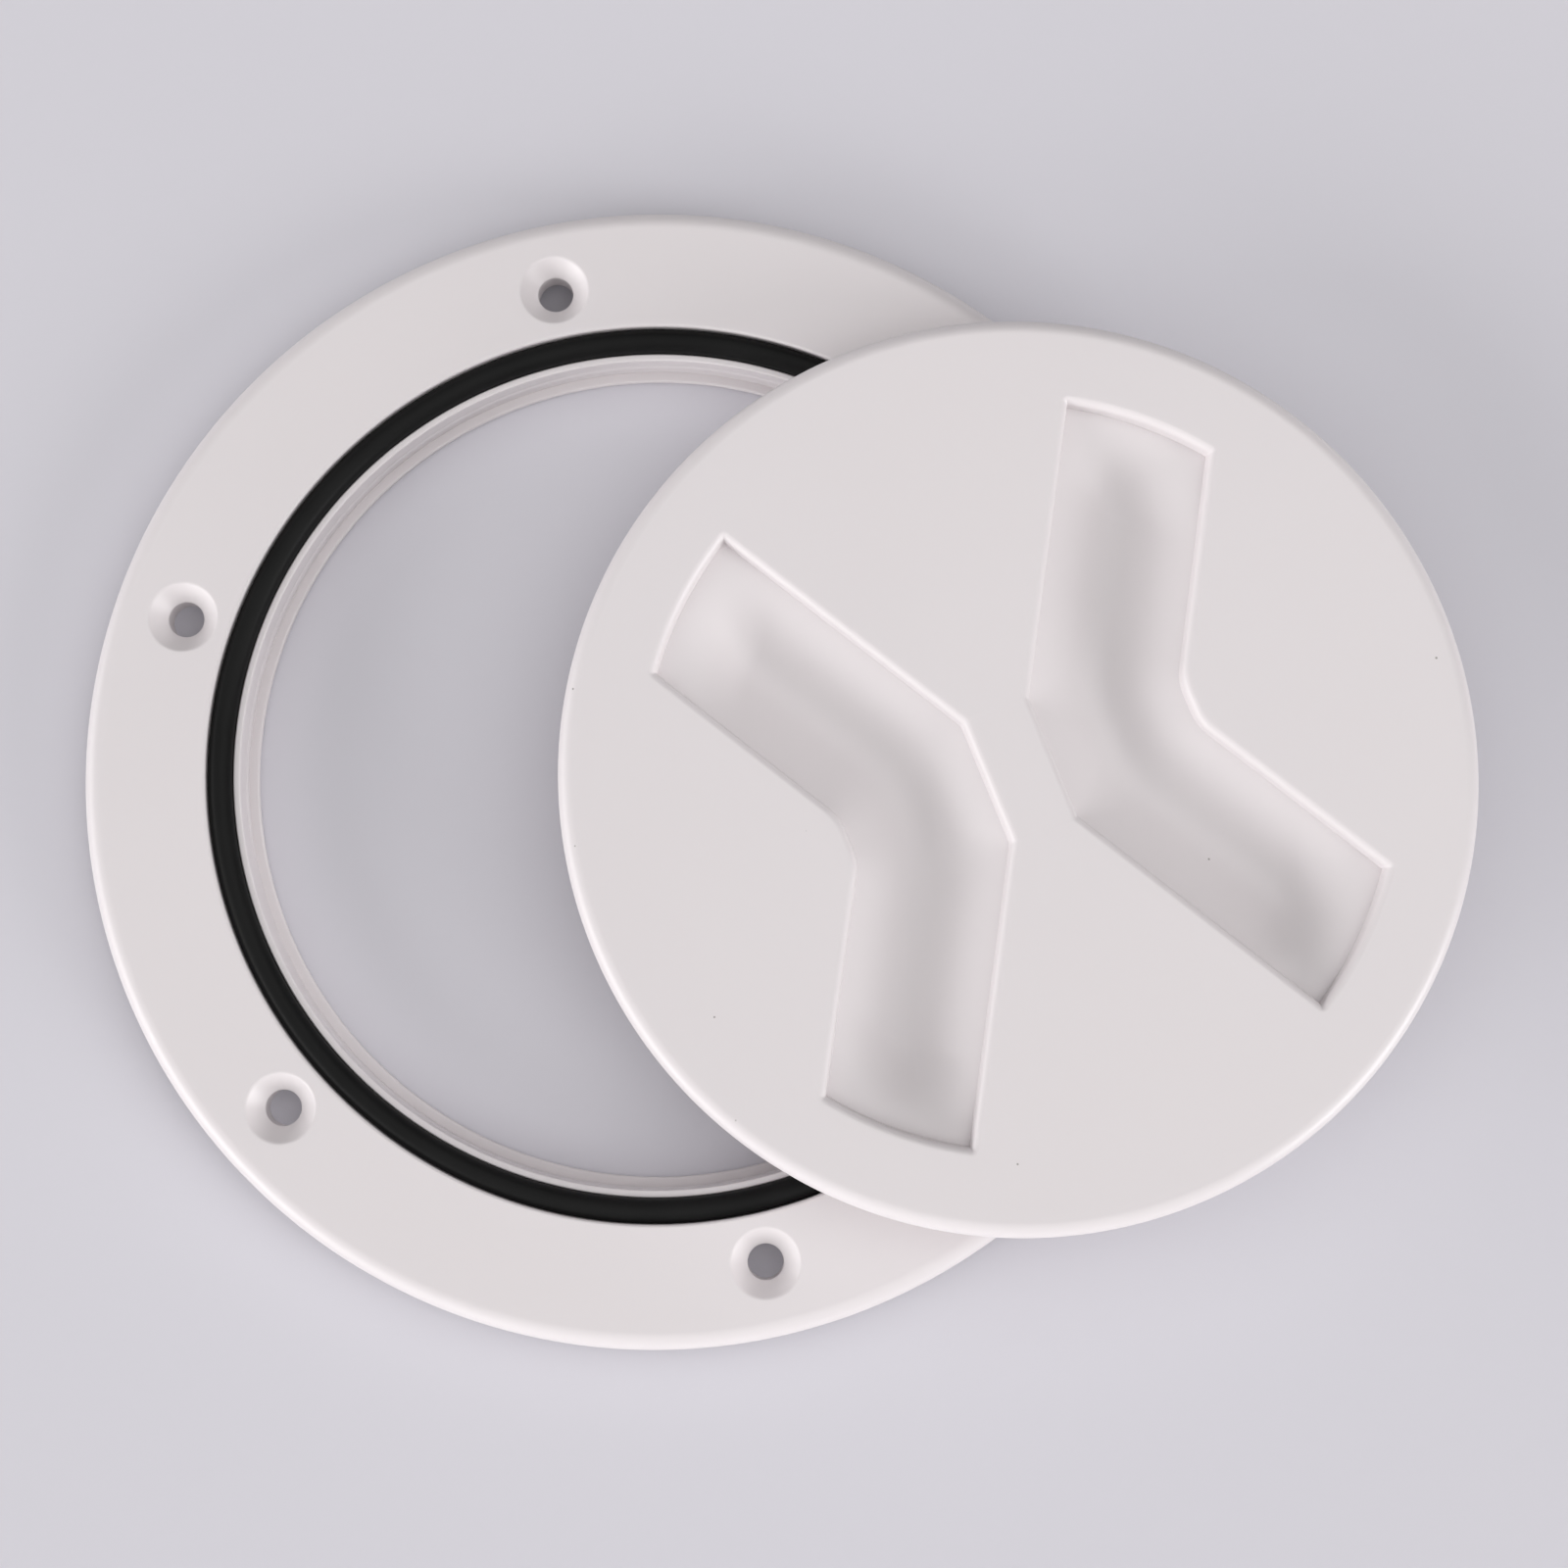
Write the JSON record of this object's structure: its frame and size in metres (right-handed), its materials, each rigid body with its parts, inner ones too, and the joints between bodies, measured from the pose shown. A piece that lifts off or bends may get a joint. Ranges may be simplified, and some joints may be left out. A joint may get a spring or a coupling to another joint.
{
  "type": "deck inspection plate",
  "caption": "Round screw-in inspection hatch for a deck: flanged mounting ring with a seal in its seat, and a threaded lid with two finger troughs, laid open on the flange.",
  "frame": {"origin": "centre of the screw circle, on the mounting ring's axis, in the plane of the deck that the flange is screwed to", "axes": "+Z out of the deck along the ring's axis, +Y through one of the screw holes"},
  "size_m": [0.1724, 0.145, 0.018],
  "materials": {
    "white_plastic": "smooth moulded gloss, slightly warm white",
    "black_rubber": "moulded satin, dark grey to black"
  },
  "bodies": {
    "root": {"mounting_ring": "white_plastic", "seal_ring": "black_rubber", "screw_lid": "white_plastic"}
  },
  "joints": []
}
